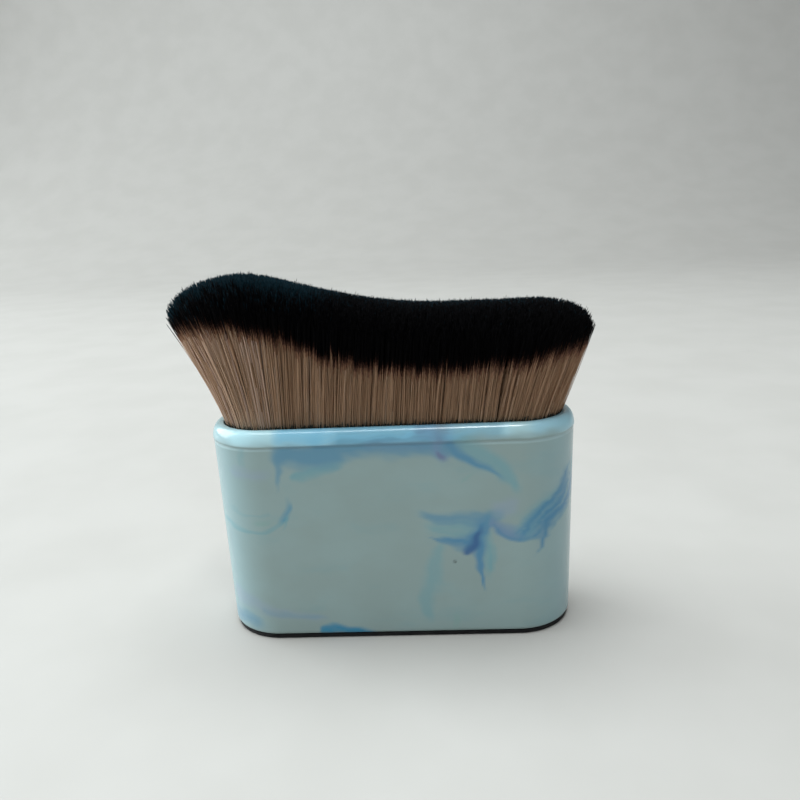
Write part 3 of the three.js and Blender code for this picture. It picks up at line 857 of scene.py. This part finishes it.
def fibre_levels(rng, root, clump, outer):
    """The heights of each fibre's rings, (n, rings), and its tip's place along the head."""
    count = len(root)
    _, edge = outward_and_edge(root)
    _, _, trim = head_place(root, np.full(count, CUP_LIP))
    length_error = rng.normal(0, TRIM_ERROR, count) - TRIM_SHORTFALL
    stray = rng.random(count) < STRAY_CHANCE
    length_error += stray * rng.uniform(*STRAY_LENGTH, count)
    tip = trim + length_error
    tip_x, _, _ = head_place(root, tip)

    dye = np.interp(lerp(root[:, 0], tip_x, 0.75), DYE_X, DYE_Z)
    dye += clump["dye"] + rng.normal(0, DYE_ERROR, count)
    dye += (1 - edge) * (OUTER_DYE_RISE if outer else INNER_DYE_RISE)
    dye = np.minimum(dye, tip - SHORTEST_BLACK)
    soft = rng.uniform(*DYE_SOFTNESS, count)
    levels = [np.full(count, ROOT_HEIGHT), np.full(count, CUP_LIP)]
    if outer:
        # The painted shade at the foot ends just above the rim.
        shade_top = RIM_HEIGHT + rng.normal(SHADE_END, SHADE_END_ERROR, count)
        levels += [np.clip(shade_top, CUP_LIP + 0.5, dye - 5.0)]
        shank = RIM_HEIGHT + SHANK_START, dye - 2.0 * soft
        levels += [lerp(*shank, share) for share in SHANK_SHARES]
        levels += [dye - 0.9 * soft, dye - 0.1, dye + 0.7 * soft]
        levels += [lerp(dye + 1.4, tip - TIP_BANDS[0], 0.5)]
    else:
        levels += [lerp(CUP_LIP, dye, 0.5), dye, dye + 0.6]
    levels += [tip - below for below in TIP_BANDS] + [tip]
    return np.stack(levels, 1), tip_x


def fibre_lines(rng, root, centre, clump, levels, up):
    """The fibres' centre lines, (n, rings, 3). up is each ring's share of the way to the tip."""
    count, rings = levels.shape
    outward, edge = outward_and_edge(root)
    drift = rng.normal(0, 1, (count, 2))
    bend = rng.normal(0, 1, (count, 2))
    splay = (rng.random(count) < SPLAY_CHANCE) * rng.uniform(*SPLAY, count)
    part_share = smoothstep(0.55, 0.95, edge)
    points = np.zeros((count, rings, 3))
    for r in range(rings):
        z, rise = levels[:, r], up[:, r]
        gather = clump["pull"] * np.sin(math.pi * np.clip(rise * 0.92, 0, 1)) ** 0.8
        place = lerp(root, centre, gather[:, None])
        for parting, strength in zip(PARTINGS, PARTING_STRENGTH):
            away = place[:, 0] - parting
            push = strength * np.exp(-np.abs(away) / PARTING_REACH) * np.sin(math.pi * rise * 0.8)
            place[:, 0] += np.sign(away) * np.maximum(push, 0) * part_share
        x, y, _ = head_place(place, z)
        sway = rise**1.5
        off = drift * (DRIFT * sway)[:, None] + bend * (BEND * np.sin(math.pi * rise))[:, None]
        off += clump["wave"] * np.sin(2 * math.pi * rise + clump["phase"])[:, None] * rise[:, None]
        off += clump["lean"] * sway[:, None] + outward * (splay * rise**3)[:, None]
        tuck = clump["tuck"] * np.sin(math.pi * np.clip(rise * 1.2, 0, 1))
        off -= outward * tuck[:, None]
        points[:, r] = np.stack((x + off[:, 0], y + off[:, 1], z), 1)
    return points


def fibre_radii(rng, root, up):
    """The fibres' radius at each ring."""
    radius = FIBRE_RADIUS * lerp(1.0, TIP_THINNING, up**3)
    radius[:, -1] *= POINTED_TIP
    spread = lerp(*SPREAD, smoothstep(*SPREAD_X, root[:, 0]))[:, None]
    radius *= lerp(1.0, spread, up**0.7)
    radius *= rng.uniform(*THICKNESS_RANGE, len(root))[:, None]
    return radius


def fibre_tones(rng, root, tip_x, clump, bands, outer):
    """The tone of each band of each fibre, (n, bands)."""
    count = len(root)
    tone = clump["tone"] + rng.normal(0, FIBRE_TONE_ERROR, count)
    tone_index = np.select([tone < limit for limit in TONE_LIMITS], [UMBER, DEEP, TAUPE], LIGHT)
    rosy = (clump["rose"] > 0.5) & (rng.random(count) < ROSY_SHARE)
    tone_index = np.where(rosy, ROSE, tone_index)
    tones = np.repeat(tone_index[:, None], bands, 1)
    fleck = rng.random(tones.shape)
    tones = np.where(fleck > 1 - TAUPE_FLECKS, TAUPE, tones)
    tones = np.where(fleck < DEEP_FLECKS, DEEP, tones)
    (lobe_x, x_error), (lobe_y, y_error), (far_y, far_error) = LOBE_SHEEN_X, LOBE_SHEEN_Y, FAR_SIDE_SHEEN_Y
    sheen_on_lobe = tip_x + rng.normal(0, x_error, count) < lobe_x
    sheen_on_lobe &= root[:, 1] + rng.normal(0, y_error, count) > lobe_y
    sheen_on_far_side = root[:, 1] + rng.normal(0, far_error, count) > far_y
    # The two bands at the foot of an outer fibre, up to just above the rim, are painted shade.
    if outer:
        tones[:, :2] = ROOT_SHADE
    dyed = OUTER_DYED if outer else INNER_DYED
    tones[:, -2 - len(dyed):-2] = dyed
    # Tips on the lobe and on the far side are painted blue-green, a sheen of light from above and
    # behind.
    tones[:, -2] = np.where(sheen_on_lobe, TIP_SHEEN, BLACK)
    tones[:, -1] = np.where(sheen_on_lobe | sheen_on_far_side, TIP_SHEEN, BLACK)
    return tones


def fibre_rings(rng, root, centre, clump, outer):
    """Centre lines of fibres: (n, rings, 3), the radius at each ring and each band's tone."""
    levels, tip_x = fibre_levels(rng, root, clump, outer)
    up = np.clip((levels - CUP_LIP) / (levels[:, -1:] - CUP_LIP), 0, 1)
    points = fibre_lines(rng, root, centre, clump, levels, up)
    radius = fibre_radii(rng, root, up)
    return points, radius, fibre_tones(rng, root, tip_x, clump, levels.shape[1] - 1, outer)


def prisms(points, radius, tones, turn):
    """Three-sided fibres round the given centre lines, closed at both ends and wound inwards."""
    count, rings, _ = points.shape
    ahead = np.diff(points, axis=1)
    ahead = np.concatenate((ahead, ahead[:, -1:]), 1)
    ahead /= np.linalg.norm(ahead, axis=2, keepdims=True)
    side = np.cross(ahead, (0.0, 1.0, 0.0))
    side /= np.linalg.norm(side, axis=2, keepdims=True)
    other = np.cross(ahead, side)
    corners = []
    for k in range(3):
        angle = turn[:, None, None] + k * 2 * math.pi / 3
        corners.append(points + radius[:, :, None] * (side * np.cos(angle) + other * np.sin(angle)))
    vertices = np.stack(corners, 2).reshape(-1, 3)
    start = (np.arange(count) * rings * 3)[:, None, None]
    ring = (np.arange(rings - 1) * 3)[None, :, None]
    k = np.arange(3)[None, None, :]
    k_next = (k + 1) % 3
    a, b = start + ring + k, start + ring + k_next
    # Seen from root to tip the corners turn clockwise, so this order faces inwards. Rendering here
    # shows both sides. For outward faces, each face's corners are reversed, the ends' too.
    faces_a = np.stack((a, a + 3, b), -1)
    faces_b = np.stack((b, a + 3, b + 3), -1)
    sides = np.stack((faces_a, faces_b), -2).reshape(-1, 3)
    side_tone = np.repeat(tones.reshape(-1), 6)
    flat_start = start[:, 0, 0]
    foot = np.stack((flat_start, flat_start + 1, flat_start + 2), -1)
    top = flat_start + (rings - 1) * 3
    cap = np.stack((top, top + 2, top + 1), -1)
    faces = np.concatenate((sides, foot, cap))
    tone = np.concatenate((side_tone, tones[:, 0], tones[:, -1]))
    return vertices, faces, tone


def build_head(materials):
    rng = np.random.default_rng(SEED)
    centres = jittered_roots(rng, CLUMP_PITCH, ROOT_RADIUS + CLUMP_MARGIN)
    count, along = len(centres), centres[:, 0]
    light_end = LIGHT_END * smoothstep(*LIGHT_END_X, along)
    loose_end = lerp(1, LOOSE_END, smoothstep(*LOOSE_END_X, np.abs(along)))
    # What the fibres of a clump share. The order of the draws matters.
    clumps = {
        "tone": rng.normal(CLUMP_TONE, CLUMP_TONE_ERROR, count) + light_end,
        "rose": rng.random(count) * (along < ROSY_X),
        "dye": rng.normal(0, CLUMP_DYE_ERROR, count),
        "pull": rng.uniform(*CLUMP_PULL, count) * loose_end,
        "lean": rng.normal(0, CLUMP_LEAN, (count, 2)),
        "tuck": np.abs(rng.normal(0, CLUMP_TUCK, count)),
        "wave": rng.normal(0, CLUMP_WAVE, (count, 2)),
        "phase": rng.uniform(0, 2 * math.pi, count),
    }
    roots = jittered_roots(rng, FIBRE_PITCH)
    owner = nearest(roots, centres, CLUMP_PITCH * 1.3)
    beyond = np.maximum(np.abs(roots[:, 0]) - ROOT_SPINE, 0)
    is_outer = np.hypot(beyond, roots[:, 1]) > ROOT_RADIUS - OUTER_DEPTH
    hank = np.searchsorted(PARTINGS, roots[:, 0])
    layers = {"outer": is_outer, "inner": ~is_outer}
    sides = {"front": roots[:, 1] < 0, "back": roots[:, 1] >= 0}
    for h, node in enumerate(hank_names):
        for layer, in_layer in layers.items():
            for side, on_side in sides.items():
                chosen = np.flatnonzero((hank == h) & in_layer & on_side)
                clump = {key: value[owner[chosen]] for key, value in clumps.items()}
                centre = centres[owner[chosen]]
                lines = fibre_rings(rng, roots[chosen], centre, clump, layer == "outer")
                turn = rng.uniform(0, 2 * math.pi, len(chosen))
                name = f"{node}_{layer}_{side}_fibres"
                piece = new_object(name, mesh_from_arrays(name, *prisms(*lines, turn)), materials)
                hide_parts(node)
                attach(piece, BODY)


# ---------------------------------------------------------------- stage, in metres
FLOOR_HALF_WIDTH = 3.0
FLOOR_FRONT = -1.5
FLOOR_BACK = 0.7
WALL_CURVE = 0.5
WALL_TOP = 2.5
CURVE_STEPS = 24
FLOOR_TONES = ((0.40, 0.385, 0.36), (0.42, 0.405, 0.38))
WORLD_COLOUR = (0.90, 0.95, 1.0)
WORLD_STRENGTH = 0.195
COOL_WHITE = (0.90, 0.97, 1.0)
# Each light's name, place, target, size, power in watts and colour.
LIGHTS = (
    ("window", (-1.1, 0.3, 0.55), (0, 0, 0.03), (1.0, 0.9), 16.0, COOL_WHITE),
    ("ceiling", (-0.1, 0.03, 1.2), (0, 0, 0.05), (1.0, 0.9), 22.0, COOL_WHITE),
    ("strip", (0.085, -0.35, 1.0), (0.015, 0, 0.04), (0.13, 0.02), 1.3, (1, 1, 1)),
)


def add_area(name, place, target, size, power, colour):
    data = bpy.data.lights.new(name, "AREA")
    data.shape = "RECTANGLE"
    data.size, data.size_y = size
    data.energy = power
    data.color = colour
    light = bpy.data.objects.new(name, data)
    bpy.context.scene.collection.objects.link(light)
    light.location = place
    light.rotation_euler = (Vector(target) - Vector(place)).to_track_quat("-Z", "Y").to_euler()


def build_floor():
    """A floor that curves up behind into a wall, far from the brush."""
    n = Nodes("studio_floor")
    tone = n.ramp(n.noise(n.metres(), scale=30.0, detail=3.0), NOISE_RANGE)
    n.set(Base_Color=n.mix(tone, *FLOOR_TONES), Roughness=0.6)
    path = [(FLOOR_FRONT, 0.0), (FLOOR_BACK, 0.0)]
    path += [(FLOOR_BACK + WALL_CURVE * math.sin(a), WALL_CURVE - WALL_CURVE * math.cos(a))
             for a in np.linspace(0, math.pi / 2, CURVE_STEPS)[1:]]
    path += [(FLOOR_BACK + WALL_CURVE, WALL_TOP)]
    vertices = [(x, y, z) for y, z in path for x in (-FLOOR_HALF_WIDTH, FLOOR_HALF_WIDTH)]
    faces = [(2 * i, 2 * i + 1, 2 * i + 3, 2 * i + 2) for i in range(len(path) - 1)]
    mesh = bpy.data.meshes.new("studio_floor")
    mesh.from_pydata(vertices, [], faces)
    mesh.shade_smooth()
    floor = new_object("studio_floor", mesh, [n.material])


def light_stage():
    world = bpy.data.worlds.new("studio")
    bpy.context.scene.world = world
    world.use_nodes = True
    background = world.node_tree.nodes["Background"]
    background.inputs["Color"].default_value = (*WORLD_COLOUR, 1)
    background.inputs["Strength"].default_value = WORLD_STRENGTH
    for light in LIGHTS:
        add_area(*light)
    bpy.context.scene.view_settings.view_transform = "Standard"


add_camera()
build_handle(marbled_plastic())
build_pad(foam_material())
for node, material in (("tuft_cup", cup_material()), ("root_plug", adhesive_material())):
    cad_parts[node].data.materials.clear()
    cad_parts[node].data.materials.append(material)
build_head([fibre_material(name, tone) for name, tone in TONES])
build_floor()
light_stage()
